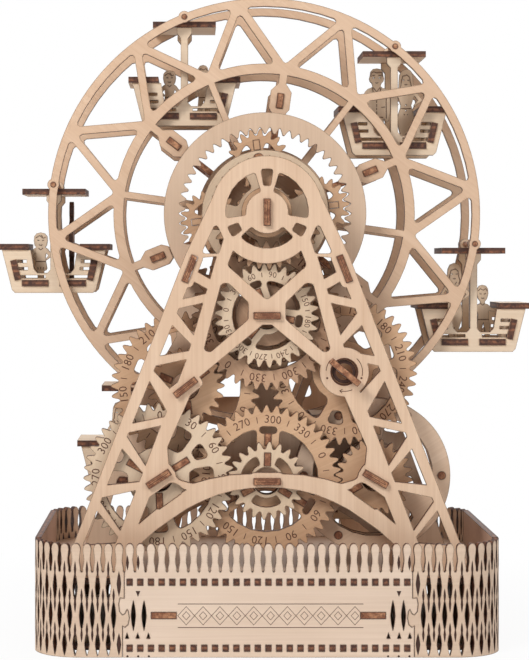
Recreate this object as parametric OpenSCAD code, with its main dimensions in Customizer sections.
/* [Plywood] */
// Thickness of the plywood that every flat piece is cut from
ply = 3; // [2.8:0.1:3.2]
// Free space between two neighbouring layers of gears
layer_gap = 1; // [0.8:0.1:1.2]
// Width of the cut between two flat pieces that lock together
kerf = 0.15; // [0.1:0.05:0.25]
// Radial play of everything that turns on a pin or an axle
run_gap = 0.08; // [0.05:0.01:0.1]
// Play of a tab or a key in its slot, each side
slot_gap = 0.1; // [0.05:0.01:0.15]
// How far a tab's end stands proud of the plate it passes through
tab_proud = 0.8; // [0.5:0.1:1.2]
// How far the keys between the gears stand proud of them
key_proud = 0.4; // [0.3:0.05:0.5]
// How far the axle strips stand out of the front frame
axle_proud = 2; // [1.5:0.25:2.5]

/* [Base] */
// Width of the fenced base
base_w = 222; // [216:1:228]
// Depth of the fenced base
base_d = 150; // [148:1:154]
// Outer radius of the bent corners
corner_r = 23; // [21:0.5:25]
// Height of the fence
fence_h = 53.3; // [52:0.1:55]
// Height of the upper deck's underside
upper_deck_h = 33.8; // [33:0.1:34.5]
// Height of the lower deck's underside
lower_deck_h = 2.9; // [2:0.1:4]
// Distance from one picket to the next
picket_pitch = 5; // [4.9:0.05:5.1]
// Number of pickets on the flat front panel
front_pickets = 27; // [25:2:27]
// Depth of the bottle shaped gaps between the pickets
picket_gap_depth = 13.3; // [12:0.1:14]
// Length of one lens shaped slot in the bending corners
lens_len = 14.5; // [14:0.1:15]
// Greatest width of one lens shaped slot
lens_wide = 2.3; // [2:0.05:2.6]
// Width of a deck tab
deck_tab_w = 2.6; // [2.4:0.05:2.8]
// Width of the two ties that cross the base
base_tie_w = 11.8; // [11:0.1:12.5]
// Height of the ties' middle
base_tie_h = 19.7; // [19:0.1:20.5]
// Distance of the ties from the middle
base_tie_x = 49; // [47:0.5:51]

/* [Frames] */
// Height of the wheel's axle above the table
axle_h = 209; // [208:0.5:210]
// Distance from the base's front face to the front frame
frame_set_back = 18; // [17:0.5:19]
// Half the front frame's width at the shoulder
shoulder_half = 39.1; // [38:0.1:40]
// Half the front frame's width at its feet
foot_half = 97.7; // [96:0.1:98.5]
// Radius of the front frame's round head
head_r = 27; // [26.5:0.1:28]
// Width of a leg's outer chord at the shoulder
chord_w = 7.5; // [7:0.1:8]
// Outer radius of the ring gear's plate
ring_plate_r = 49.7; // [49:0.1:51]
// Width of the ties between the frames
frame_tie_w = 13.4; // [13:0.1:14]

/* [Wheel] */
// Outer radius of the wheel's rims
wheel_r = 107.5; // [107:0.1:108]
// Width of the outer ring
outer_ring_w = 4; // [3.8:0.1:4.4]
// Outer radius of the rims' inner ring
inner_ring_r = 75; // [74:0.5:76]
// Width of the inner ring
inner_ring_w = 5; // [4.6:0.1:5.4]
// Width of the zigzag bars between the rings
rim_bar_w = 4; // [3.6:0.1:4.4]
// Radius of the small fillets in the rims' windows
rim_fillet = 1.4; // [1:0.1:1.6]
// Distance from the front frame's face to the front rim's face
wheel_set_back = 42; // [41:0.5:44]
// Distance from the front rim's face to the rear rim's face
rim_spacing = 40; // [39:0.5:41]
// Radius of the circle that the cabin pins lie on
cabin_circle_r = 106; // [105.5:0.1:106.2]
// Radius of a cabin pin
cabin_pin_r = 1.3; // [1.2:0.05:1.4]
// Radius of a rim's hub
hub_r = 33; // [32.5:0.5:34]
// Distance of the radial plates' outer tabs from the axle
paddle_r = 57; // [56:0.5:57]

/* [Gears] */
// Module of the spur gears
gear_module = 1.57; // [1.56:0.005:1.575]
// Module of the planet set
planet_module = 1.5; // [1.49:0.005:1.51]
// Pressure angle
pressure_angle = 25; // [24:1:26]
// How much thinner each tooth is than half a pitch
tooth_play = 0.28; // [0.25:0.01:0.35]
// Width of the flat axle strips
axle_w = 12.6; // [12.2:0.1:12.8]
// Radius of the planet pins
planet_pin_r = 2.5; // [2.3:0.1:2.7]
// Height of the lowest arbor
low_arbor_h = 80.4; // [80:0.2:81.4]
// Tilt of the line from the lowest arbor up to its two neighbours
low_rise = 1.4; // [1:0.1:2]
// Outer radius of the flywheel
flywheel_r = 37.6; // [37:0.1:38]
// Radius of the crank's collar
collar_r = 11.8; // [11.5:0.1:12.2]
// Width of the crank key's head
crank_head_w = 17; // [16:0.5:18]
// How far the crank key stands out of the front frame
crank_reach = 9; // [8:0.5:10]

/* [Cabins] */
// Width of a cabin's side plate at its top
cabin_top_w = 52; // [50:0.5:53]
// Width of a cabin's side plate at its bottom
cabin_bottom_w = 42; // [40:0.5:43]
// Height of a cabin's side plate
cabin_tray_h = 21.5; // [21:0.25:22]
// Distance from a cabin's pin to its bottom
cabin_drop = 54; // [53:0.25:54.5]
// Width of the post
post_w = 3.6; // [3.4:0.1:4]
// Width of the roof
roof_w = 31.5; // [30:0.5:33]
// Height of an adult rider
rider_h = 31; // [30:0.5:31.5]

/* [Hidden] */
$fn = 64;

// Colours of the sheets
ply_pale = "#e6cdb0";
ply_cream = "#ecd9bd";
ply_pink = "#dfb896";
ply_gold = "#dcb98c";
ply_burnt = "#6b3e26";

// One overrun serves every cut that passes right through a plate
over = ply / 3;
// Half of a sheet, and the pitch of the layers
half_ply = ply / 2;
layer_pitch = ply + layer_gap;

// Places of the layers from front to back, each the front face of a sheet
front_y = -base_d / 2;
frame_y = front_y + frame_set_back;
front_rim_y = frame_y + wheel_set_back;
rear_rim_y = front_rim_y + rim_spacing;
rear_frame_gap = 3 * ply;
rear_frame_y = rear_rim_y + ply + rear_frame_gap;
function layer_y(n) = frame_y + n * layer_pitch;
ring_layer = 7;
ring_y = layer_y(ring_layer);

// Teeth of every gear
sun_teeth = 18;
planet_teeth = 18;
ring_teeth = sun_teeth + 2 * planet_teeth;
sun_drive_teeth = 33;
idler_small_teeth = 30;
idler_large_teeth = 44;
idler_pinion_teeth = 14;
upper_small_teeth = 22;
upper_large_teeth = 44;
left_pinion_teeth = 14;
left_large_teeth = 44;
low_front_teeth = 22;
low_rear_teeth = 44;
flywheel_pinion_teeth = 22;
crank_teeth = 44;

// Centre distances follow from the teeth
function reach(a, b) = gear_module * (a + b) / 2;
planet_reach = planet_module * (sun_teeth + planet_teeth) / 2;
crank_direction = -36;

// Where two circles round p and q, of radii a and b, cross on the left of the way from p to q
function meeting(p, q, a, b) =
    let (d = norm(q - p), u = (q - p) / d, s = (a * a - b * b + d * d) / (2 * d), h = sqrt(a * a - s * s))
    p + s * u + h * [u[1], -u[0]];

function toward(a) = [cos(a), sin(a)];

// The arbors, seen from the front: x to the right and height upward
hub_at = [0, axle_h];
idler_at = hub_at - [0, reach(sun_drive_teeth, idler_small_teeth)];
low_at = [0, low_arbor_h];
left_at = low_at + reach(left_large_teeth, low_front_teeth) * toward(180 - low_rise);
flywheel_at = low_at + reach(low_rear_teeth, flywheel_pinion_teeth) * toward(low_rise);
upper_at = meeting(idler_at, left_at, reach(idler_large_teeth, upper_small_teeth),
    reach(upper_large_teeth, left_pinion_teeth));
crank_at = idler_at + reach(idler_pinion_teeth, crank_teeth) * toward(crank_direction);

// Tilt of each axle strip, seen from the front
upper_tilt = 38;
left_tilt = 33;
flywheel_tilt = -30;
axle_places = [[idler_at, 0], [low_at, 0], [left_at, left_tilt], [upper_at, upper_tilt],
    [flywheel_at, flywheel_tilt]];

// Bores that turn on the flat strips clear their corners
axle_bore_r = norm([axle_w, ply]) / 2 + run_gap;
crank_tail_w = 11.2;
crank_bore_r = norm([crank_tail_w, ply]) / 2 + run_gap;
planet_bore_r = planet_pin_r + run_gap;
cabin_bore_r = cabin_pin_r + run_gap;

// Keys that join the gears of one arbor stand edge on round the bore; the sun takes slim ones
key_t = 6.2;
key_r = axle_bore_r + 0.6 + key_t / 2;
slim_key_t = 1.7;
slim_key_r = axle_bore_r + 1.1 + slim_key_t / 2;
thirds = [0, 120, 240];

// Direction of each arbor's first key and spoke
sun_turn = 90;
idler_turn = 110;
low_turn = 88;
left_turn = 32;
upper_turn = 37;
crank_turn = 22;
flywheel_turn = 90;

// Outline helpers in the plane

function unit(v) = v / norm(v);
function turned(v) = [-v[1], v[0]];
function mirrored(pts) = [for (i = [len(pts) - 1 : -1 : 0]) [-pts[i][0], pts[i][1]]];
function moved(pts, by) = [for (p = pts) p + by];
function spun(pts, a) = [for (p = pts) [p[0] * cos(a) - p[1] * sin(a), p[0] * sin(a) + p[1] * cos(a)]];
function arc(c, r, a, b, n) = [for (i = [0 : n]) c + r * toward(a + (b - a) * i / n)];
function crossing(p, u, q, v) = p + u * ((q - p)[0] * v[1] - (q - p)[1] * v[0]) / (u[0] * v[1] - u[1] * v[0]);

// Moves each side of a counter clockwise outline inward by its own distance
function inset(pts, d) =
    let (n = len(pts))
    [for (i = [0 : n - 1])
        let (a = pts[(i + n - 1) % n], b = pts[i], c = pts[(i + 1) % n], u = unit(b - a), v = unit(c - b))
        crossing(b + turned(u) * d[(i + n - 1) % n], u, b + turned(v) * d[i], v)];

// Rounds the corners of an outline, with n chords to each corner; points of a smooth arc stay
function rounded(pts, r, n) =
    let (k = len(pts))
    [for (i = [0 : k - 1]) each corner(pts[(i + k - 1) % k], pts[i], pts[(i + 1) % k], r, n)];

function corner(before, p, after, r, n) =
    let (u = unit(before - p), v = unit(after - p), half = acos(max(-1, min(1, u * v))) / 2)
    half > 78 ? [p] :
    let (fit = min(norm(before - p), norm(after - p)) * 0.48,
        cut = min(r / tan(half), fit),
        rr = cut * tan(half),
        c = p + unit(u + v) * rr / sin(half),
        start = atan2((p + u * cut - c)[1], (p + u * cut - c)[0]),
        stop = atan2((p + v * cut - c)[1], (p + v * cut - c)[0]),
        turn = stop - start,
        sweep = turn > 180 ? turn - 360 : turn < -180 ? turn + 360 : turn)
    [for (j = [0 : n]) c + rr * toward(start + sweep * j / n)];

// A flat piece drawn as it is seen from the front, with its front face at y
module sheet_at(y, thick = ply) {
    translate([0, y + thick, 0])
        rotate([90, 0, 0])
            linear_extrude(thick)
                children();
}

// A flat piece drawn from above, with its underside at height z
module deck_at(z) {
    translate([0, 0, z])
        linear_extrude(ply)
            children();
}

// A slot or tab, w long along its tilt and t wide
module bar_at(p, tilt, w, t) {
    translate(p)
        rotate(tilt)
            square([w, t], center = true);
}

// Gears

function involute(a) = tan(a) * 180 / PI - a;

// Half the angle that a tooth fills at radius r
function tooth_half(z, m, r) =
    let (pitch_r = m * z / 2)
    90 / z - tooth_play / (4 * pitch_r) * 180 / PI + involute(pressure_angle)
    - involute(acos(min(1, pitch_r * cos(pressure_angle) / r)));

root_share = 1.25;
tip_share = 0.95;
tip_round_share = 0.28;
foot_share = 0.3;

function tooth_side(z, m) =
    let (pitch_r = m * z / 2, base_r = pitch_r * cos(pressure_angle), root_r = pitch_r - root_share * m,
        tip_r = pitch_r + tip_share * m, low_r = max(base_r, root_r + foot_share * m),
        shoulder_r = tip_r - tip_round_share * m)
    [[root_r, (tooth_half(z, m, low_r) + 180 / z) / 2],
     [low_r, tooth_half(z, m, low_r)],
     [pitch_r, tooth_half(z, m, pitch_r)],
     [shoulder_r, tooth_half(z, m, shoulder_r)],
     [tip_r, tooth_half(z, m, tip_r) * 0.55]];

// Outline of a gear of z teeth, with the middle of one tooth at the angle phase
function gear_outline(z, m, phase) =
    let (side = tooth_side(z, m), n = len(side))
    [for (i = [0 : z - 1], j = [0 : 2 * n - 1])
        let (p = j < n ? side[j] : side[2 * n - 1 - j], s = j < n ? -1 : 1)
        p[0] * toward(phase + 360 * i / z + s * p[1])];

// Phase of gear b, which meshes with gear a standing at phase pa and lies in direction t from it
function mesh(za, pa, zb, t) =
    let (u = (t - pa) * za / 360)
    t + 180 - (0.5 - (u - floor(u))) * 360 / zb;

function bearing(p, q) = atan2((q - p)[1], (q - p)[0]);

// Phases along the train, each gear in mesh with the one before it
sun_drive_phase = 0;
idler_small_phase = mesh(sun_drive_teeth, sun_drive_phase, idler_small_teeth, bearing(hub_at, idler_at));
idler_large_phase = 0;
upper_small_phase = mesh(idler_large_teeth, idler_large_phase, upper_small_teeth,
    bearing(idler_at, upper_at));
upper_large_phase = 0;
left_pinion_phase = mesh(upper_large_teeth, upper_large_phase, left_pinion_teeth, bearing(upper_at, left_at));
left_large_phase = 0;
low_front_phase = mesh(left_large_teeth, left_large_phase, low_front_teeth, bearing(left_at, low_at));
low_rear_phase = 0;
flywheel_phase = mesh(low_rear_teeth, low_rear_phase, flywheel_pinion_teeth, bearing(low_at, flywheel_at));
idler_pinion_phase = 0;
crank_phase = mesh(idler_pinion_teeth, idler_pinion_phase, crank_teeth, bearing(idler_at, crank_at));

// Planets, counter clockwise from the right as seen from the front
first_planet = 97;
function planet_turn(k) = first_planet - 90 * k;
function planet_at(k) = hub_at + planet_reach * toward(planet_turn(k));
ring_phase = 0;
sun_phase = 4 * first_planet + 170 - 3 * ring_phase;
function planet_phase(k) = planet_turn(k) + (ring_phase - planet_turn(k)) * ring_teeth / planet_teeth;

// A window between two radii and two angles, with rounded corners
module ring_window(r, s, a, b, fillet) {
    steps = max(2, ceil((b - a) / 14));
    polygon(rounded(concat(arc([0, 0], s, a, b, steps), arc([0, 0], r, b, a, steps)), fillet, 2));
}

module key_slots(start) {
    for (a = thirds)
        bar_at(key_r * toward(start + a), start + a, key_t + 2 * slot_gap, ply + 2 * slot_gap);
}

module slim_key_slots(start) {
    for (a = thirds)
        bar_at(slim_key_r * toward(start + a), start + a, slim_key_t + 2 * slot_gap, ply + 2 * slot_gap);
}

// Keys of the radial width t that reach from the layer first to the layer last, and rear past it
module arbor_keys(place, start, r, t, first, last, rear = key_proud) {
    for (a = thirds)
        sheet_at(layer_y(first) - key_proud, (last - first) * layer_pitch + ply + key_proud + rear)
            bar_at(place + r * toward(start + a), start + a, t, ply);
}

// Inner radius of the toothed bands, hub radius, and the fillet of the windows
band_in_r = 26.6;
gear_hub_r = 15;
web_fillet = 2.2;

// A gear in place with its bore; the modules given with it are cut out
module gear_at(place, z, m, phase, layer) {
    sheet_at(layer_y(layer))
        translate(place)
            difference() {
                polygon(gear_outline(z, m, phase));
                circle(axle_bore_r);
                children();
            }
}

// A pinion with the thin boss that is glued to the sheet in front of it
module pinion_at(place, z, phase, layer) {
    gear_at(place, z, gear_module, phase, layer);
    sheet_at(layer_y(layer) - layer_gap, layer_gap + over)
        translate(place)
            difference() {
                circle(pinion_boss_r);
                circle(axle_bore_r);
            }
}
pinion_boss_r = 8.6;

function along(a, u, v) = u * toward(a) + v * toward(a + 90);

// Windows of a wheel with three arms that fork toward the rim
arm_half = 5.3;
arm_end = 16.8;
fork_half = 8.7;
fork_turn = asin(fork_half / band_in_r);
fork_slot = [[-2.2, 19.6], [-4.4, 26], [4.4, 26], [2.2, 19.6]];

module forked_windows(start) {
    lean = asin(arm_half / gear_hub_r);
    for (t = thirds) {
        a = start + t;
        b = a + 120;
        polygon(rounded([for (q = fork_slot) along(a, q[1], q[0])], web_fillet * 0.8, 3));
        polygon(rounded(concat([along(a, arm_end, arm_half)],
            arc([0, 0], band_in_r, a + fork_turn, b - fork_turn, 6),
            [along(b, arm_end, -arm_half)], arc([0, 0], gear_hub_r, b - lean, a + lean, 4)), web_fillet, 3));
    }
}

// Windows of a wheel with three plain spokes, each with a rounded slot near the rim
slot_round_t = 3.4;

module spoked_windows(start, hub, rim, half, slot_w) {
    lean_in = asin(half / hub);
    lean_out = asin(half * 1.05 / rim);
    for (t = thirds) {
        a = start + t;
        b = a + 120;
        translate((rim - slot_round_t * 0.3) * toward(a))
            rotate(a + 90)
                hull_slot(slot_w, slot_round_t);
        polygon(rounded(concat(arc([0, 0], rim, a + lean_out, b - lean_out, 6),
            arc([0, 0], hub, b - lean_in, a + lean_in, 4)), web_fillet * 0.7, 3));
    }
}

module hull_slot(w, t) {
    square([w - t, t], center = true);
    for (s = [-1, 1])
        translate([s * (w - t) / 2, 0])
            circle(t / 2);
}

module sun_drive_gear() {
    color(ply_gold)
        gear_at(hub_at, sun_drive_teeth, gear_module, sun_drive_phase, 1)
            slim_key_slots(sun_turn);
}

module sun_gear() {
    color(ply_gold)
        gear_at(hub_at, sun_teeth, planet_module, sun_phase, ring_layer)
            slim_key_slots(sun_turn);
}

module sun_keys() {
    color(ply_burnt)
        arbor_keys(hub_at, sun_turn, slim_key_r, slim_key_t, 1, ring_layer);
}

// A planet: bore, two curved windows and a slot for its small tab
planet_window_in = 5.4;
planet_window_out = 9;
planet_tab_w = 4.8;
planet_tab_r = 6.9;

module planet(k) {
    a = planet_turn(k);
    color(ply_gold)
        sheet_at(ring_y)
            translate(planet_at(k))
                difference() {
                    polygon(gear_outline(planet_teeth, planet_module, planet_phase(k)));
                    circle(planet_bore_r);
                    bar_at(planet_tab_r * toward(a), a, planet_tab_w + 2 * slot_gap, ply + 2 * slot_gap);
                    for (side = [-1, 1])
                        rotate(a + 90 * side)
                            ring_window(planet_window_in, planet_window_out, -58, 58, web_fillet / 2);
                }
    color(ply_burnt)
        sheet_at(ring_y - key_proud, ply + 2 * key_proud)
            bar_at(planet_at(k) + planet_tab_r * toward(a), a, planet_tab_w, ply);
}

module idler_small_gear() {
    color(ply_cream)
        gear_at(idler_at, idler_small_teeth, gear_module, idler_small_phase, 1) {
            key_slots(idler_turn);
            spoked_windows(idler_turn, idler_hub_r, idler_rim_r, arm_half * 0.92, idler_slot_w);
        }
}
idler_hub_r = 9.2;
idler_rim_r = 16.6;
idler_slot_w = 5.8;

module idler_large_gear() {
    color(ply_gold)
        gear_at(idler_at, idler_large_teeth, gear_module, idler_large_phase, 2) {
            key_slots(idler_turn);
            forked_windows(idler_turn);
        }
}

module idler_pinion() {
    color(ply_gold)
        pinion_at(idler_at, idler_pinion_teeth, idler_pinion_phase, 3);
}

module idler_keys() {
    color(ply_burnt)
        arbor_keys(idler_at, idler_turn, key_r, key_t, 1, 2, -slot_gap);
}

module low_front_gear() {
    color(ply_cream)
        gear_at(low_at, low_front_teeth, gear_module, low_front_phase, 1) {
            key_slots(low_turn);
            for (t = thirds)
                ring_window(low_window_in, low_window_out, low_turn + t + 24, low_turn + t + 96,
                    web_fillet / 2);
        }
}
low_window_in = 8.3;
low_window_out = 12.7;

// The lowest wheel has plain spokes with a second row of keys outside the small gear
outer_key_t = 5.7;
outer_key_r = 19.4;
low_rim_r = 25;
low_slot_w = 8.4;

module low_rear_gear() {
    color(ply_gold)
        gear_at(low_at, low_rear_teeth, gear_module, low_rear_phase, 2) {
            key_slots(low_turn);
            for (t = thirds)
                bar_at(outer_key_r * toward(low_turn + t), low_turn + t, outer_key_t + 2 * slot_gap,
                    ply + 2 * slot_gap);
            spoked_windows(low_turn, gear_hub_r, low_rim_r, arm_half, low_slot_w);
        }
}

module low_keys() {
    color(ply_burnt) {
        arbor_keys(low_at, low_turn, key_r, key_t, 1, 2);
        arbor_keys(low_at, low_turn, outer_key_r, outer_key_t, 2, 2);
    }
}

module left_large_gear() {
    color(ply_cream)
        gear_at(left_at, left_large_teeth, gear_module, left_large_phase, 1) {
            for (t = thirds)
                bar_at(left_key_r * toward(left_turn + t), left_turn + t, left_key_t + 2 * slot_gap,
                    ply + 2 * slot_gap);
            forked_windows(left_turn);
        }
}

// A plain disc fills the free layer between the left arbor's two gears; its keys are longer in front
spacer_r = key_r + key_t / 2 + 1.2;
left_key_t = 9.6;
left_key_r = key_r + (left_key_t - key_t) / 2;

module left_spacer() {
    color(ply_cream)
        sheet_at(layer_y(2))
            translate(left_at)
                difference() {
                    circle(spacer_r);
                    circle(axle_bore_r);
                    key_slots(left_turn);
                }
}

module left_pinion() {
    color(ply_gold)
        pinion_at(left_at, left_pinion_teeth, left_pinion_phase, 3);
}

module left_keys() {
    color(ply_burnt) {
        arbor_keys(left_at, left_turn, left_key_r, left_key_t, 1, 1, -slot_gap);
        arbor_keys(left_at, left_turn, key_r, key_t, 1, 2, -slot_gap);
    }
}

module upper_large_gear() {
    color(ply_gold)
        gear_at(upper_at, upper_large_teeth, gear_module, upper_large_phase, 3) {
            key_slots(upper_turn);
            forked_windows(upper_turn);
        }
}

module upper_small_gear() {
    color(ply_gold)
        gear_at(upper_at, upper_small_teeth, gear_module, upper_small_phase, 2)
            key_slots(upper_turn);
}

module upper_keys() {
    color(ply_burnt)
        arbor_keys(upper_at, upper_turn, key_r, key_t, 2, 3);
}

// The crank: a flat key whose tail turns in the front frame's collar
crank_tilt = -40;

module crank_key() {
    color(ply_burnt) {
        sheet_at(frame_y - crank_reach, crank_reach - layer_gap / 3)
            bar_at(crank_at, crank_tilt, crank_head_w, ply);
        sheet_at(frame_y - crank_reach + over, crank_reach - over + frame_span + tab_proud)
            bar_at(crank_at, crank_tilt, crank_tail_w, ply);
    }
}

module crank_gear() {
    color(ply_gold)
        sheet_at(layer_y(3))
            translate(crank_at)
                difference() {
                    polygon(gear_outline(crank_teeth, gear_module, crank_phase));
                    bar_at([0, 0], crank_tilt, crank_tail_w + 2 * slot_gap, ply + 2 * slot_gap);
                    forked_windows(crank_turn);
                }
}

module flywheel_pinion() {
    color(ply_gold)
        gear_at(flywheel_at, flywheel_pinion_teeth, gear_module, flywheel_phase, 2)
            key_slots(flywheel_turn);
}

// Two discs with wide windows, joined by pegs near the rim
flywheel_rim_w = 8.4;
peg_circle_r = flywheel_r - flywheel_rim_w / 2;
peg_r = 1.9;
peg_turns = [0 : 60 : 300];

module flywheel_disc(layer) {
    sheet_at(layer_y(layer))
        translate(flywheel_at)
            difference() {
                circle(flywheel_r);
                circle(axle_bore_r);
                key_slots(flywheel_turn);
                for (a = peg_turns)
                    translate(peg_circle_r * toward(a))
                        circle(peg_r + slot_gap);
                for (t = thirds)
                    ring_window(gear_hub_r + 1.5, flywheel_r - flywheel_rim_w, t + flywheel_turn + 14,
                        t + flywheel_turn + 106, 1.6 * web_fillet);
            }
}

module flywheel_front_disc() {
    color(ply_gold)
        flywheel_disc(4);
}

module flywheel_rear_disc() {
    color(ply_gold)
        flywheel_disc(6);
}

module flywheel_pegs() {
    color(ply_burnt) {
        arbor_keys(flywheel_at, flywheel_turn, key_r, key_t, 2, 6);
        for (a = peg_turns)
            sheet_at(layer_y(4) - key_proud, 2 * layer_pitch + ply + 2 * key_proud)
                translate(flywheel_at + peg_circle_r * toward(a))
                    circle(peg_r);
    }
}

// Axle strips

frame_span = ring_layer * layer_pitch + ply;

module main_axle() {
    color(ply_burnt)
        sheet_at(frame_y - axle_proud, rear_frame_y - frame_y + ply + axle_proud + tab_proud)
            bar_at(hub_at, 90, axle_w, ply);
}

module gear_axles() {
    color(ply_burnt)
        for (place = axle_places)
            sheet_at(frame_y - axle_proud, frame_span + axle_proud + tab_proud)
                bar_at(place[0], place[1], axle_w, ply);
}

// Frames

deck_top = upper_deck_h + ply;
shoulder_h = deck_top + (axle_h - deck_top) * 0.8806;
leg_slope = (foot_half - shoulder_half) / (shoulder_h - deck_top);
function leg_outer(h) = shoulder_half + (shoulder_h - h) * leg_slope;

// The inner chord is bent once, at the knee
knee_h = deck_top + (axle_h - deck_top) * 0.5917;
knee_half = shoulder_half * 0.985;
function leg_inner(h) = knee_half + (knee_h - h) * (h > knee_h ? leg_slope * 0.758 : leg_slope);

// The outer chord narrows toward the foot
function leg_window_outer(h) = leg_outer(h) - chord_w * (0.6 + 0.4 * (h - deck_top) / (shoulder_h - deck_top));

// Windows of a leg: heights of the outer side's ends, then of the inner side's ends, as shares of the
// height from the deck to the axle
leg_window_shares = [
    [0.873, 0.839, 0.877, 0.815],
    [0.812, 0.760, 0.787, 0.774],
    [0.733, 0.720, 0.748, 0.660],
    [0.686, 0.602, 0.634, 0.616],
    [0.574, 0.560, 0.592, 0.500],
    [0.531, 0.415, 0.449, 0.433],
    [0.389, 0.378, 0.408, 0.298],
    [0.344, 0.244, 0.278, 0.253],
    [0.209, 0.197, 0.229, 0.118],
    [0.172, 0.077, 0.100, 0.083]];

function share_h(s) = deck_top + (axle_h - deck_top) * s;

function leg_window(w) = [
    [-leg_window_outer(share_h(w[0])), share_h(w[0])],
    [-leg_window_outer(share_h(w[1])), share_h(w[1])],
    [-leg_inner(share_h(w[3])), share_h(w[3])],
    [-leg_inner(share_h(w[2])), share_h(w[2])]];

module both_sides() {
    children();
    mirror([1, 0])
        children();
}

inner_chord_w = 5.6;
function chord_edge(h) = leg_inner(h) - inner_chord_w;

// Arch between the feet and the curved brace above it
arch_top_h = low_arbor_h - axle_w * 0.36;
arch_side_half = foot_half * 0.615;

function arch_outline(rise, half, foot) = concat(
    [[-half, foot]],
    [for (i = [0 : 10]) let (t = 1 - i / 5) [-half * 0.97 * t, foot + (rise - foot) * (1 - pow(abs(t), 2.1))]],
    [[half, foot]]);

// Points of the openings in the front frame, x as shares of the shoulder's half width and heights
// as shares of the height from the deck to the axle
brace_top_shares = [[-0.41, 0.896], [-0.485, 0.852], [0, 0.756], [0.485, 0.852], [0.41, 0.896], [0, 0.93]];
brace_side_shares = [[-0.56, 0.803], [-0.775, 0.617], [-0.69, 0.612], [-0.228, 0.703], [-0.228, 0.749],
    [-0.47, 0.803]];
belly_shares = [[0, 0.698], [-0.845, 0.539], [-1.217, 0.348], [-1.197, 0.301], [-1.084, 0.259],
    [-0.908, 0.2474], [-0.706, 0.2607], [-0.445, 0.2718], [0, 0.277]];
neck_shares = [[-0.624, 0.9715], [-0.80, 0.8856], [-0.588, 0.8856], [-0.532, 0.9257]];
arch_corner_shares = [[-1.171, 0.2544], [-1.568, 0.1353], [-0.974, 0.2311]];

function from_shares(list) = [for (s = list) [s[0] * shoulder_half, share_h(s[1])]];
function closed_sides(half) = concat(half, [for (i = [len(half) - 2 : -1 : 1]) [-half[i][0], half[i][1]]]);

// Rounded bosses stand round the slots of the axles and ties
boss_end = 2.1;
boss_side = 2.85;

module boss_at(p, tilt, w) {
    long = w / 2 + boss_end;
    wide = half_ply + boss_side;
    translate(p)
        rotate(tilt)
            polygon(rounded([[-long, -wide], [long, -wide], [long, wide], [-long, wide]], wide * 0.6, 3));
}

module axle_slots(clear) {
    for (place = axle_places)
        bar_at(place[0], place[1], axle_w + 2 * clear, ply + 2 * clear);
    bar_at(hub_at, 90, axle_w + 2 * clear, ply + 2 * clear);
}

// Ties between the frames, at the shoulders
tie_at = [-shoulder_half * 0.945, share_h(0.843)];
tie_turn = 90 - atan(leg_slope);

// The same bar or boss on both legs
module tie_bars(at, w, t) {
    for (side = [1, -1])
        bar_at([side * at[0], at[1]], side * tie_turn, w, t);
}

module tie_bosses(at, w) {
    for (side = [1, -1])
        boss_at([side * at[0], at[1]], side * tie_turn, w);
}

// Feet pass through the upper deck by two tabs each
foot_tab_w = 9;
foot_tab_half = [foot_half * 0.68, foot_half * 0.88];

module foot_tabs(places) {
    for (x = places, side = [-1, 1])
        translate([side * x - foot_tab_w / 2, upper_deck_h])
            square([foot_tab_w, ply + layer_gap]);
}

// Windows of the head: radii as shares of the head's, and the angles between which they lie
head_windows = [[0.378, 0.733, -8, 73], [0.378, 0.733, 107, 188], [0.378, 0.64, 223, 317],
    [0.47, 0.767, 82, 98], [0.54, 0.75, 200, 216], [0.54, 0.75, 324, 340]];

module front_frame() {
    color(ply_pale)
        sheet_at(frame_y)
            difference() {
                union() {
                    difference() {
                        polygon(concat([[foot_half, deck_top], [shoulder_half, shoulder_h]],
                            arc(hub_at, head_r, 16, 164, 20),
                            [[-shoulder_half, shoulder_h], [-foot_half, deck_top],
                             [-arch_side_half, deck_top]],
                            arch_outline(arch_top_h, arch_side_half, share_h(0.06)),
                            [[arch_side_half, deck_top]]));
                        both_sides() {
                            for (w = leg_window_shares)
                                polygon(leg_window(w));
                            polygon(rounded(from_shares(brace_side_shares), web_fillet, 3));
                            polygon(rounded(from_shares(neck_shares), web_fillet / 2, 2));
                            polygon(rounded(from_shares(arch_corner_shares), web_fillet, 2));
                        }
                        difference() {
                            polygon(rounded(from_shares(brace_top_shares), web_fillet, 3));
                            translate(hub_at)
                                circle(head_r * 0.91);
                        }
                        polygon(rounded(closed_sides(from_shares(belly_shares)), 1.6 * web_fillet, 3));
                    }
                    for (place = axle_places)
                        boss_at(place[0], place[1], axle_w);
                    translate(crank_at)
                        circle(collar_r);
                    tie_bosses(tie_at, frame_tie_w);
                    foot_tabs(foot_tab_half);
                }
                axle_slots(slot_gap);
                tie_bars(tie_at, frame_tie_w + 2 * slot_gap, ply + 2 * slot_gap);
                translate(crank_at)
                    circle(crank_bore_r);
                translate(hub_at)
                    for (w = head_windows)
                        ring_window(head_r * w[0], head_r * w[1], w[2], w[3], web_fillet * 0.45);
            }
}

// The ring gear's plate stands behind the front train and carries the other ends of its axles
ring_shoulder_half = shoulder_half * 1.08;
ring_foot_half = foot_half * 0.94;
ring_shoulder_h = share_h(0.83);
ring_flank_h = share_h(0.78);
ring_belly_shares = [[-0.256, 0.636], [-0.51, 0.62], [-0.82, 0.5], [-0.96, 0.345], [-0.256, 0.372]];
ring_leg_window_shares = [
    [[-1.27, 0.66], [-1.42, 0.575], [-1.24, 0.60], [-1.06, 0.67]],
    [[-1.60, 0.455], [-1.75, 0.37], [-1.50, 0.38], [-1.36, 0.45]],
    [[-1.84, 0.255], [-2.02, 0.10], [-1.72, 0.12], [-1.60, 0.24]]];

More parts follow.
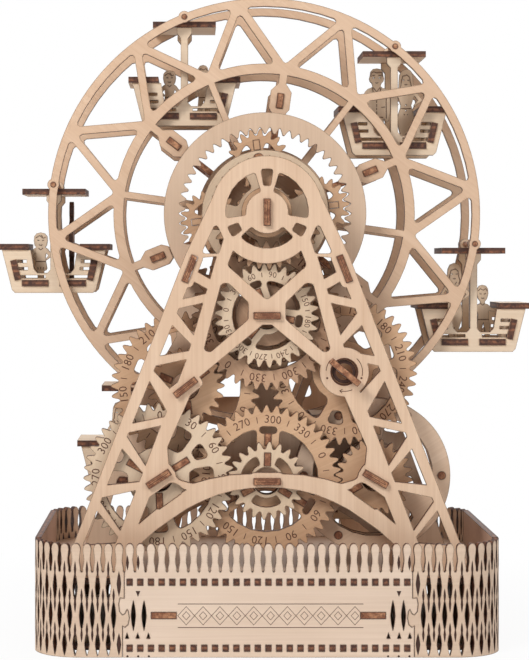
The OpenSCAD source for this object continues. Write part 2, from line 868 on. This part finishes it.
module ring_gear_frame() {
    color(ply_gold)
        sheet_at(ring_y)
            difference() {
                union() {
                    difference() {
                        polygon(concat([[ring_foot_half, deck_top], [ring_shoulder_half, ring_flank_h],
                            [ring_shoulder_half, ring_shoulder_h], [-ring_shoulder_half, ring_shoulder_h],
                            [-ring_shoulder_half, ring_flank_h], [-ring_foot_half, deck_top],
                            [-arch_side_half, deck_top]],
                            arch_outline(arch_top_h - ply, arch_side_half, share_h(0.06)),
                            [[arch_side_half, deck_top]]));
                        both_sides() {
                            polygon(rounded(from_shares(ring_belly_shares), 2 * web_fillet, 3));
                            for (w = ring_leg_window_shares)
                                polygon(rounded(from_shares(w), web_fillet, 2));
                        }
                    }
                    translate(hub_at)
                        circle(ring_plate_r);
                    foot_tabs(foot_tab_half);
                    for (place = axle_places)
                        boss_at(place[0], place[1], axle_w);
                    translate(crank_at)
                        circle(collar_r);
                    tie_bosses(ring_tab_at, ring_tab_w);
                }
                for (place = axle_places)
                    bar_at(place[0], place[1], axle_w + 2 * slot_gap, ply + 2 * slot_gap);
                translate(crank_at)
                    circle(crank_bore_r);
                tie_bars(ring_tab_at, ring_tab_w + 2 * slot_gap, ply + 2 * slot_gap);
                translate(hub_at)
                    polygon(ring_outline());
            }
}

// Inside of the ring gear: the same teeth, cut as spaces and opened by the play
ring_root_share = 1.2;
ring_tip_share = 0.85;

function ring_side() =
    let (m = planet_module, z = ring_teeth, pitch_r = m * z / 2, space = tooth_play / (2 * pitch_r) * 180 / PI,
        tip_r = pitch_r - ring_tip_share * m, deep_r = pitch_r + ring_root_share * m,
        mid_r = pitch_r + 0.6 * m)
    [[tip_r, tooth_half(z, m, tip_r) + space + 0.35],
     [tip_r + 0.3 * m, tooth_half(z, m, tip_r + 0.3 * m) + space],
     [pitch_r, tooth_half(z, m, pitch_r) + space],
     [mid_r, tooth_half(z, m, mid_r) + space],
     [deep_r, (tooth_half(z, m, deep_r) + space) * 0.7]];

function ring_outline() =
    let (side = ring_side(), n = len(side))
    [for (i = [0 : ring_teeth - 1], j = [0 : 2 * n - 1])
        let (p = j < n ? side[j] : side[2 * n - 1 - j], s = j < n ? -1 : 1)
        p[0] * toward(ring_phase + 360 * i / ring_teeth + s * p[1])];

// The ties end in narrow tabs below the ring plate's rim
ring_tab_w = 5;
ring_tab_at = tie_at + ply * toward(tie_turn + 180);

module frame_ties() {
    color(ply_burnt)
        both_sides_solid() {
            sheet_at(frame_y - tab_proud, frame_span - ply + tab_proud)
                bar_at(tie_at, tie_turn, frame_tie_w, ply);
            sheet_at(frame_y, frame_span + tab_proud)
                bar_at(ring_tab_at, tie_turn, ring_tab_w, ply);
        }
}

module both_sides_solid() {
    children();
    mirror([1, 0, 0])
        children();
}

// The rear frame is a plainer trestle behind the wheel
rear_foot_half = foot_half * 0.64;
rear_head_r = 19;
rear_leg_w = 17;
rear_bar_h = share_h(0.42);
rear_bar_w = 11;
rear_foot_places = [rear_foot_half - rear_leg_w * 0.5];

module rear_frame() {
    half_in = rear_foot_half - rear_leg_w;
    color(ply_gold)
        sheet_at(rear_frame_y)
            difference() {
                union() {
                    polygon(concat([[rear_foot_half, deck_top]], arc(hub_at, rear_head_r, 12, 168, 16),
                        [[-rear_foot_half, deck_top]]));
                    foot_tabs(rear_foot_places);
                }
                bar_at(hub_at, 90, axle_w + 2 * slot_gap, ply + 2 * slot_gap);
                polygon(rounded([[half_in * 0.16, share_h(0.86)], [-half_in * 0.16, share_h(0.86)],
                    [-half_in * 0.60, rear_bar_h + rear_bar_w / 2], [half_in * 0.60, rear_bar_h + rear_bar_w / 2]],
                    web_fillet, 3));
                polygon(rounded([[half_in * 0.64, rear_bar_h - rear_bar_w / 2],
                    [-half_in * 0.64, rear_bar_h - rear_bar_w / 2], [-half_in, deck_top - ply],
                    [half_in, deck_top - ply]], web_fillet / 2, 2));
            }
}

// Base

straight_half = base_w / 2 - corner_r;
side_half = base_d / 2 - corner_r;
front_panel_half = front_pickets * picket_pitch / 2;

// Half of the gap between two pickets: distance from its middle and height, as shares of the pitch
// and of the gap's depth
picket_gap_shares = [[0.42, 0], [0.30, 0.02], [0.16, 0.09], [0.10, 0.20], [0.13, 0.32], [0.20, 0.50],
    [0.20, 0.66], [0.10, 0.86], [0.11, 0.95], [0.05, 1]];

function picket_gap() =
    let (side = [for (s = picket_gap_shares) [s[0] * picket_pitch, fence_h - s[1] * picket_gap_depth]])
    concat([[side[0][0], fence_h + over]], side, mirrored(side), [[-side[0][0], fence_h + over]]);

// Lens shaped slot, with its pointed ends above and below
lens_shares = [[0, 0.5], [-0.30, 0.28], [-0.5, 0], [-0.30, -0.28], [0, -0.5], [0.30, -0.28], [0.5, 0],
    [0.30, 0.28]];

function lens(len_now) = [for (s = lens_shares) [s[0] * lens_wide, s[1] * len_now]];

// Hooked line of the lock between the flat panel and the bent corner, going up
lock_shares = [[0.16, 0], [0.16, 0.28], [-0.06, 0.265], [-0.36, 0.29], [-0.48, 0.345], [-0.40, 0.405],
    [-0.26, 0.425], [-0.05, 0.385], [0.18, 0.375], [0.44, 0.405], [0.52, 0.47], [0.40, 0.525],
    [0, 0.52], [0, 1]];

function lock_line(at, shift) =
    let (pts = [for (s = lock_shares) [at + s[0] * picket_pitch, s[1] * fence_h]], last = len(pts) - 1)
    [for (i = [0 : last])
        let (u = unit(pts[min(i + 1, last)] - pts[max(i - 1, 0)]))
        i == 0 || i == last ? pts[i] + [shift, 0] : pts[i] - turned(u) * shift];

deck_slot_w = deck_tab_w + 2 * slot_gap;
deck_slot_h = ply + 2 * slot_gap;

module picket_gaps(first, last) {
    for (i = [first : last])
        translate([i * picket_pitch, 0])
            polygon(picket_gap());
}

// Deck tabs stand between the picket gaps, one for each picket
module tab_row(w, h, mid) {
    for (i = [-(front_pickets - 1) / 2 : (front_pickets - 1) / 2])
        translate([i * picket_pitch - w / 2, mid - h / 2])
            square([w, h]);
}

triangle_w = 1.8;
triangle_h = 2.8;

module front_panel_outline() {
    half = front_panel_half;
    edge = lock_line(half, -kerf / 2);
    difference() {
        polygon(concat(edge, mirrored(edge)));
        translate([picket_pitch / 2, 0])
            picket_gaps(-(front_pickets + 1) / 2, (front_pickets - 1) / 2);
        tab_row(deck_slot_w, deck_slot_h, upper_deck_h + half_ply);
        tab_row(deck_slot_w, deck_slot_h, lower_deck_h + half_ply);
        both_sides() {
            translate([base_tie_x, base_tie_h])
                square([base_tie_w + 2 * slot_gap, deck_slot_h], center = true);
            for (i = [1, 2])
                translate([half - (i - 0.15) * picket_pitch, base_tie_h])
                    polygon(lens(lens_len));
            for (i = [1 : 3])
                translate([half - (i - 0.74) * picket_pitch, lower_deck_h + 2 * ply])
                    polygon([[-triangle_w / 2, 0], [triangle_w / 2, 0], [0, triangle_h]]);
        }
    }
}

module base_front_panel() {
    color(ply_cream)
        sheet_at(front_y)
            front_panel_outline();
}

module base_rear_panel() {
    color(ply_cream)
        sheet_at(-front_y - ply)
            front_panel_outline();
}

// Plain side panels close the ends between the bent corners
module base_side_panels() {
    color(ply_cream)
        both_sides_solid()
            translate([base_w / 2 - ply, -side_half + kerf / 2, 0])
                cube([ply, 2 * side_half - kerf, fence_h]);
}

// Rows of lens slots: staggered from column to column
lens_mid_share = 0.370;
lens_step = lens_len - 0.54 * lens_wide;

lens_mid = fence_h * lens_mid_share;

// Heights and lengths of the slots in a picket's middle, the lowest one shorter, and below a gap
function column_lenses(middle) = middle ? [[lens_mid - lens_step, 0.8 * lens_len],
    [lens_mid + lens_step, lens_len]] : [[lens_mid, lens_len]];

module column_cuts(middle) {
    for (c = column_lenses(middle))
        translate([0, c[0]])
            polygon(lens(c[1]));
}

corner_columns = floor(PI / 2 * (corner_r - half_ply) / picket_pitch + 0.5);
flat_columns = floor((straight_half - front_panel_half) / picket_pitch + 0.5);

// The bend is made of narrow flats, two to a column
bend_facets = 2 * corner_columns;

// One bent corner, at the right of the front
module corner_piece() {
    flat_w = straight_half - front_panel_half;
    step = 90 / corner_columns;
    difference() {
        union() {
            sheet_at(front_y)
                polygon(concat([[straight_half, 0], [straight_half, fence_h]],
                    [for (i = [len(lock_shares) - 1 : -1 : 0]) lock_line(front_panel_half, kerf / 2)[i]]));
            translate([straight_half, front_y + corner_r, 0])
                linear_extrude(fence_h)
                    polygon(concat(arc([0, 0], corner_r, -90, 0, bend_facets),
                        arc([0, 0], corner_r - ply, 0, -90, bend_facets)));
        }
        sheet_at(front_y - over, ply + 2 * over)
            for (i = [0 : flat_columns])
                translate([front_panel_half + i * picket_pitch, 0]) {
                    polygon(picket_gap());
                    if (i > 0)
                        column_cuts(false);
                    if (i > 1)
                        translate([-picket_pitch / 2, 0])
                            column_cuts(true);
                }
        translate([straight_half, front_y + corner_r, 0])
            for (i = [0 : corner_columns - 1])
                rotate([0, 0, (i + 0.5) * step])
                    corner_cuts(step);
    }
}

// Cuts of one bent column: lens slots in its middle, and the picket gap beside it
module corner_cuts(step) {
    sheet_at(-corner_r - over, ply + 2 * over)
        column_cuts(true);
    rotate([0, 0, step / 2])
        sheet_at(-corner_r - over, ply + 2 * over) {
            polygon(picket_gap());
            column_cuts(false);
        }
}

module base_corners() {
    color(ply_cream)
        both_sides_solid() {
            corner_piece();
            mirror([0, 1, 0])
                corner_piece();
        }
}

// Decks

deck_in = ply + slot_gap;

module deck_outline() {
    w = straight_half;
    d = side_half;
    r = corner_r - deck_in;
    polygon(concat(arc([w, d], r, 0, 90, 8), arc([-w, d], r, 90, 180, 8), arc([-w, -d], r, 180, 270, 8),
        arc([w, -d], r, 270, 360, 8)));
    both_ends()
        translate([0, base_d / 2 - ply - over])
            tab_row(deck_tab_w, 2 * ply, half_ply);
}

module both_ends() {
    children();
    mirror([0, 1])
        children();
}

module lower_deck() {
    color(ply_cream)
        deck_at(lower_deck_h)
            intersection() {
                deck_outline();
                square([base_w, base_d - 2 * slot_gap], center = true);
            }
}

// Slots for the feet of the three frames
module foot_slots(y, places) {
    for (x = places, side = [-1, 1])
        translate([side * x - foot_tab_w / 2 - slot_gap, y - slot_gap])
            square([foot_tab_w + 2 * slot_gap, deck_slot_h]);
}

module upper_deck() {
    color(ply_cream)
        deck_at(upper_deck_h)
            difference() {
                intersection() {
                    deck_outline();
                    square([base_w, base_d - 2 * slot_gap], center = true);
                }
                foot_slots(frame_y, foot_tab_half);
                foot_slots(ring_y, foot_tab_half);
                foot_slots(rear_frame_y, rear_foot_places);
            }
}

module base_ties() {
    color(ply_burnt)
        both_sides_solid()
            translate([base_tie_x - base_tie_w / 2, front_y + slot_gap, base_tie_h - half_ply])
                cube([base_tie_w, base_d - 2 * slot_gap, ply]);
}

// Wheel

cabin_turns = [52, -8, -68, -128, -188, -248];
paddle_turns = [for (k = [0 : 5]) 82 - 60 * k];
outer_in_r = wheel_r - outer_ring_w;
inner_in_r = inner_ring_r - inner_ring_w;
outer_node_r = wheel_r - outer_ring_w / 2;
inner_node_r = inner_ring_r - inner_ring_w / 2;
first_outer_turn = 67;
first_inner_turn = 82;
boss_r = 2.9;
paddle_half = 5.2;
paddle_len = 8.6;
rim_spoke_w = 3.4;

// A window between two bars that meet at a node and an arc of the ring opposite
function fan_window(node_turn, node_r, far_turn, far_r, arc_r, inward) =
    let (p = node_r * toward(node_turn), a = far_r * toward(node_turn + far_turn),
        b = far_r * toward(node_turn - far_turn), half = rim_bar_w / 2,
        ua = unit(a - p), ub = unit(b - p),
        tip = crossing(p - turned(ua) * half * inward, ua, p + turned(ub) * half * inward, ub),
        pa = meet_circle(tip, ua, arc_r), pb = meet_circle(tip, ub, arc_r),
        aa = bearing([0, 0], pa), ab = bearing([0, 0], pb),
        span = (aa - ab) - 360 * round((aa - ab) / 360))
    concat([tip], [for (i = [0 : 5]) arc_r * toward(ab + span * i / 5)]);

function meet_circle(p, u, r) =
    let (b = p * u, s = sqrt(b * b - p * p + r * r))
    p + u * (norm(p) < r ? -b + s : -b - s);

module paddle(a) {
    rotate(a) {
        polygon([[inner_in_r + over, rim_bar_w / 2], [paddle_r + paddle_len, rim_bar_w / 2],
            [paddle_r + paddle_len * 0.55, paddle_half], [paddle_r - paddle_len * 0.45, paddle_half],
            [paddle_r - paddle_len * 0.8, paddle_half * 0.6], [paddle_r - paddle_len * 0.8, -paddle_half * 0.6],
            [paddle_r - paddle_len * 0.45, -paddle_half], [paddle_r + paddle_len * 0.55, -paddle_half],
            [paddle_r + paddle_len, -rim_bar_w / 2], [inner_in_r + over, -rim_bar_w / 2]]);
    }
}

paddle_tab_w = 7.2;
hub_tab_r = hub_r - 9;
hub_tab_w = 6;

module rim_outline() {
    difference() {
        union() {
            difference() {
                circle(wheel_r, $fn = 128);
                circle(inner_in_r, $fn = 128);
                for (k = [0 : 11]) {
                    polygon(rounded(fan_window(first_inner_turn - 30 * k, inner_node_r, 15, outer_node_r,
                        outer_in_r, 1), rim_fillet, 2));
                    polygon(rounded(fan_window(first_outer_turn - 30 * k, outer_node_r, 15, inner_node_r,
                        inner_ring_r, -1), rim_fillet, 2));
                }
            }
            circle(hub_r);
            for (a = cabin_turns) {
                translate(cabin_circle_r * toward(a))
                    circle(boss_r);
                rotate(a)
                    translate([hub_r - over, -rim_spoke_w / 2])
                        square([inner_in_r - hub_r + 2 * over, rim_spoke_w]);
            }
            for (a = paddle_turns)
                paddle(a);
        }
        circle(axle_bore_r);
        for (a = cabin_turns)
            translate(cabin_circle_r * toward(a))
                circle(cabin_pin_r + slot_gap / 2);
        for (a = paddle_turns) {
            bar_at(paddle_r * toward(a), a, paddle_tab_w + 2 * slot_gap, ply + 2 * slot_gap);
            bar_at(hub_tab_r * toward(a), a, hub_tab_w + 2 * slot_gap, ply + 2 * slot_gap);
        }
    }
}

module planet_pin_holes() {
    for (k = [0 : 3])
        translate(planet_reach * toward(planet_turn(k)))
            circle(planet_pin_r + slot_gap / 2);
}

module front_rim() {
    color(ply_pink)
        sheet_at(front_rim_y)
            translate(hub_at)
                difference() {
                    rim_outline();
                    planet_pin_holes();
                }
}

module rear_rim() {
    color(ply_pink)
        sheet_at(rear_rim_y)
            translate(hub_at)
                rim_outline();
}

// Each radial plate is drawn along its radius and across the wheel, then stood up
plate_in_r = axle_bore_r + 2 * ply;
plate_out_r = paddle_r + paddle_tab_w / 2 + layer_gap / 2;

module radial_plate_outline() {
    inside = rim_spacing - ply;
    difference() {
        translate([plate_in_r, 0])
            square([plate_out_r - plate_in_r, inside]);
        translate([hub_r + ply, inside * 0.22])
            square([plate_out_r - hub_r - 4 * ply, inside * 0.56]);
    }
    for (y = [-ply - tab_proud, inside - over]) {
        translate([paddle_r - paddle_tab_w / 2, y])
            square([paddle_tab_w, ply + tab_proud + over]);
        translate([hub_tab_r - hub_tab_w / 2, y])
            square([hub_tab_w, ply + tab_proud + over]);
    }
}

module radial_plates() {
    color(ply_burnt)
        translate([0, front_rim_y + ply, axle_h])
            for (a = paddle_turns)
                rotate([0, -a, 0])
                    translate([0, 0, -half_ply])
                        linear_extrude(ply)
                            radial_plate_outline();
}

carrier_r = 31;

module carrier(layer, bore) {
    sheet_at(layer_y(layer))
        translate(hub_at)
            difference() {
                circle(carrier_r);
                circle(bore);
                planet_pin_holes();
                for (k = [0 : 3])
                    rotate(planet_turn(k) + 45)
                        ring_window(bore + 3.4, carrier_r - 4.2, -24, 24, web_fillet);
            }
}

// The sun's keys pass through the front carrier's wide bore
sun_key_reach = norm([slim_key_r + slim_key_t / 2, half_ply]);

module front_carrier() {
    color(ply_cream)
        carrier(ring_layer - 1, sun_key_reach + layer_gap);
}

module rear_carrier() {
    color(ply_cream)
        carrier(ring_layer + 1, sun_key_reach + layer_gap);
}

module wheel_pins() {
    color(ply_burnt) {
        for (k = [0 : 3])
            sheet_at(layer_y(ring_layer - 1) - tab_proud,
                front_rim_y + ply - layer_y(ring_layer - 1) + tab_proud - slot_gap)
                translate(planet_at(k))
                    circle(planet_pin_r);
        for (a = cabin_turns)
            sheet_at(front_rim_y - tab_proud / 2, rim_spacing + ply + tab_proud)
                translate(hub_at + cabin_circle_r * toward(a))
                    circle(cabin_pin_r);
    }
}

// Cabins, drawn round their own pin

cabin_gap = 2;
cabin_front_y = front_rim_y + ply + cabin_gap;
cabin_rear_y = rear_rim_y - cabin_gap - ply;
roof_drop = 1.9;
eye_r = 2.9;
post_head_w = 7.4;
post_head_h = 5.4;
tray_top = -cabin_drop + cabin_tray_h;
recess_half = 11.6;
recess_depth = cabin_tray_h * 0.54;
rail_w = 15;
rail_thick = ply;
floor_h = -cabin_drop + 3.4;
end_lean = atan((cabin_top_w - cabin_bottom_w) / 2 / cabin_tray_h);
slot_rows = [0.42, 0.60, 0.78];

module cabin_side_outline() {
    head = -roof_drop - ply;
    difference() {
        union() {
            polygon([[-cabin_top_w / 2, tray_top], [-cabin_bottom_w / 2, -cabin_drop + 1.5],
                [-cabin_bottom_w / 2 + 1.5, -cabin_drop], [cabin_bottom_w / 2 - 1.5, -cabin_drop],
                [cabin_bottom_w / 2, -cabin_drop + 1.5], [cabin_top_w / 2, tray_top],
                [recess_half, tray_top], [recess_half - 1.6, tray_top - recess_depth + 2],
                [recess_half - 3.4, tray_top - recess_depth], [post_w / 2 + 1.6, tray_top - recess_depth],
                [post_w / 2, tray_top - recess_depth + 1.8],
                [post_w / 2, head - post_head_h], [post_head_w / 2, head - post_head_h * 0.55],
                [post_head_w / 2, head], [-post_head_w / 2, head],
                [-post_head_w / 2, head - post_head_h * 0.55], [-post_w / 2, head - post_head_h],
                [-post_w / 2, tray_top - recess_depth + 1.8],
                [-post_w / 2 - 1.6, tray_top - recess_depth], [-recess_half + 3.4, tray_top - recess_depth],
                [-recess_half + 1.6, tray_top - recess_depth + 2], [-recess_half, tray_top]]);
            translate([-post_w / 2, head - over])
                square([post_w, -head + over]);
            circle(eye_r);
        }
        circle(cabin_bore_r);
        both_sides() {
            for (s = [0, 1])
                translate([recess_half + 2 - s * 0.6, tray_top - cabin_tray_h * (0.3 + 0.17 * s)])
                    square([4.6, 1.5]);
            translate([post_w / 2 + 2.4, tray_top - cabin_tray_h * 0.66])
                square([recess_half + 1, 1.5]);
            translate([post_w / 2 + 1, floor_h - slot_gap])
                square([cabin_floor_tab_w + 2 * slot_gap, ply + 2 * slot_gap]);
            cabin_end_slot(slot_gap);
        }
    }
}
cabin_floor_tab_w = 13;
cabin_end_tab_w = 10;

// Slanted slot for the end wall's tab
module cabin_end_slot(clear) {
    translate([(cabin_top_w + cabin_bottom_w) / 4 - 4.4, tray_top - cabin_tray_h * 0.47])
        rotate(-end_lean)
            square([ply + 2 * clear, cabin_end_tab_w + 2 * clear], center = true);
}

module cabin_end_wall(y, depth, tall) {
    sheet_at(y, depth)
        translate([(cabin_top_w + cabin_bottom_w) / 4 - 4.4, tray_top - cabin_tray_h * 0.47])
            rotate(-end_lean)
                square([ply, tall], center = true);
}

inside_y = cabin_front_y + ply;
inside_d = cabin_rear_y - inside_y;
cabin_out_y = cabin_front_y - tab_proud;
cabin_out_d = cabin_rear_y - cabin_front_y + ply + 2 * tab_proud;

module cabin(k) {
    place = cabin_circle_r * toward(cabin_turns[k]) + hub_at;
    translate([place[0], 0, place[1]]) {
        color(ply_cream) {
            for (y = [cabin_front_y, cabin_rear_y])
                sheet_at(y)
                    cabin_side_outline();
        }
        color(ply_burnt) {
            cabin_roof();
            cabin_floor();
            both_sides_solid() {
                cabin_end_wall(cabin_out_y, cabin_out_d, cabin_end_tab_w);
                cabin_end_wall(inside_y + slot_gap, inside_d - 2 * slot_gap, cabin_tray_h * 0.8);
                cabin_rail();
            }
        }
    }
}

module cabin_roof() {
    translate([0, 0, -roof_drop - ply])
        difference() {
            translate([-roof_w / 2, cabin_out_y, slot_gap / 2])
                cube([roof_w, cabin_out_d, ply - slot_gap / 2]);
            for (y = [cabin_front_y, cabin_rear_y])
                translate([-post_w / 2 - slot_gap, y - slot_gap, -over])
                    cube([post_w + 2 * slot_gap, deck_slot_h, ply + 2 * over]);
        }
}

module cabin_floor() {
    translate([0, 0, floor_h]) {
        translate([-cabin_bottom_w / 2 + 5, inside_y + slot_gap, 0])
            cube([cabin_bottom_w - 10, inside_d - 2 * slot_gap, ply]);
        both_sides_solid()
            translate([post_w / 2 + 1 + slot_gap, cabin_out_y, 0])
                cube([cabin_floor_tab_w, cabin_out_d, ply]);
    }
}

module cabin_rail() {
    translate([cabin_top_w / 2 - rail_w + 2, cabin_out_y, tray_top + slot_gap / 2])
        cube([rail_w, cabin_out_d, rail_thick]);
}

// Riders, flat figures that stand on the cabin's floor

rider_ply = ply * 0.7;

// Half outline of a standing figure in a coat: distance from the middle and height, as shares of its height
coat_shares = [[0, 0], [0.13, 0], [0.13, 0.06], [0.10, 0.10], [0.115, 0.33], [0.17, 0.34], [0.185, 0.56],
    [0.20, 0.70], [0.15, 0.755], [0.05, 0.775], [0.045, 0.80], [0.088, 0.85], [0.095, 0.93], [0.06, 0.985],
    [0, 1]];
// The same for a figure in a long dress, hands on the hips
dress_shares = [[0, 0], [0.09, 0], [0.09, 0.08], [0.17, 0.10], [0.14, 0.30], [0.085, 0.50], [0.19, 0.56],
    [0.18, 0.60], [0.13, 0.73], [0.045, 0.765], [0.08, 0.80], [0.105, 0.88], [0.085, 0.96], [0, 1]];

function figure(half, tall) = concat([for (s = half) s * tall],
    [for (i = [len(half) - 2 : -1 : 1]) [-half[i][0], half[i][1]] * tall]);

// Who rides where: cabin by cabin, each figure's outline, height share and place across the cabin
rider_list = [
    [[coat_shares, 1, -6.9], [dress_shares, 0.98, 6.9]],
    [[dress_shares, 0.96, -7], [dress_shares, 0.9, 7]],
    [[coat_shares, 0.98, 6.8]],
    [[dress_shares, 0.9, -7.2]],
    [[dress_shares, 0.8, -7.4]],
    [[coat_shares, 0.98, -6.9], [coat_shares, 0.82, 7]]];

module riders(k) {
    place = cabin_circle_r * toward(cabin_turns[k]) + hub_at;
    color(ply_cream)
        for (r = rider_list[k])
            translate([place[0] + r[2], 0, place[1] + floor_h + ply])
                sheet_at(inside_y + inside_d * 0.38, rider_ply)
                    polygon(figure(r[0], rider_h * r[1]));
}

base_front_panel();
base_rear_panel();
base_side_panels();
base_corners();
lower_deck();
upper_deck();
base_ties();
front_frame();
ring_gear_frame();
rear_frame();
frame_ties();
main_axle();
gear_axles();
front_rim();
rear_rim();
radial_plates();
front_carrier();
rear_carrier();
wheel_pins();
planet(0);  // planet_gear_1
planet(1);  // planet_gear_2
planet(2);  // planet_gear_3
planet(3);  // planet_gear_4
sun_gear();
sun_drive_gear();
sun_keys();
idler_small_gear();
idler_large_gear();
idler_pinion();
idler_keys();
low_front_gear();
low_rear_gear();
low_keys();
left_large_gear();
left_spacer();
left_pinion();
left_keys();
upper_large_gear();
upper_small_gear();
upper_keys();
crank_key();
crank_gear();
flywheel_pinion();
flywheel_front_disc();
flywheel_rear_disc();
flywheel_pegs();
cabin(0);  // cabin_1
cabin(1);  // cabin_2
cabin(2);  // cabin_3
cabin(3);  // cabin_4
cabin(4);  // cabin_5
cabin(5);  // cabin_6
riders(0);  // riders_1
riders(1);  // riders_2
riders(2);  // riders_3
riders(3);  // riders_4
riders(4);  // riders_5
riders(5);  // riders_6
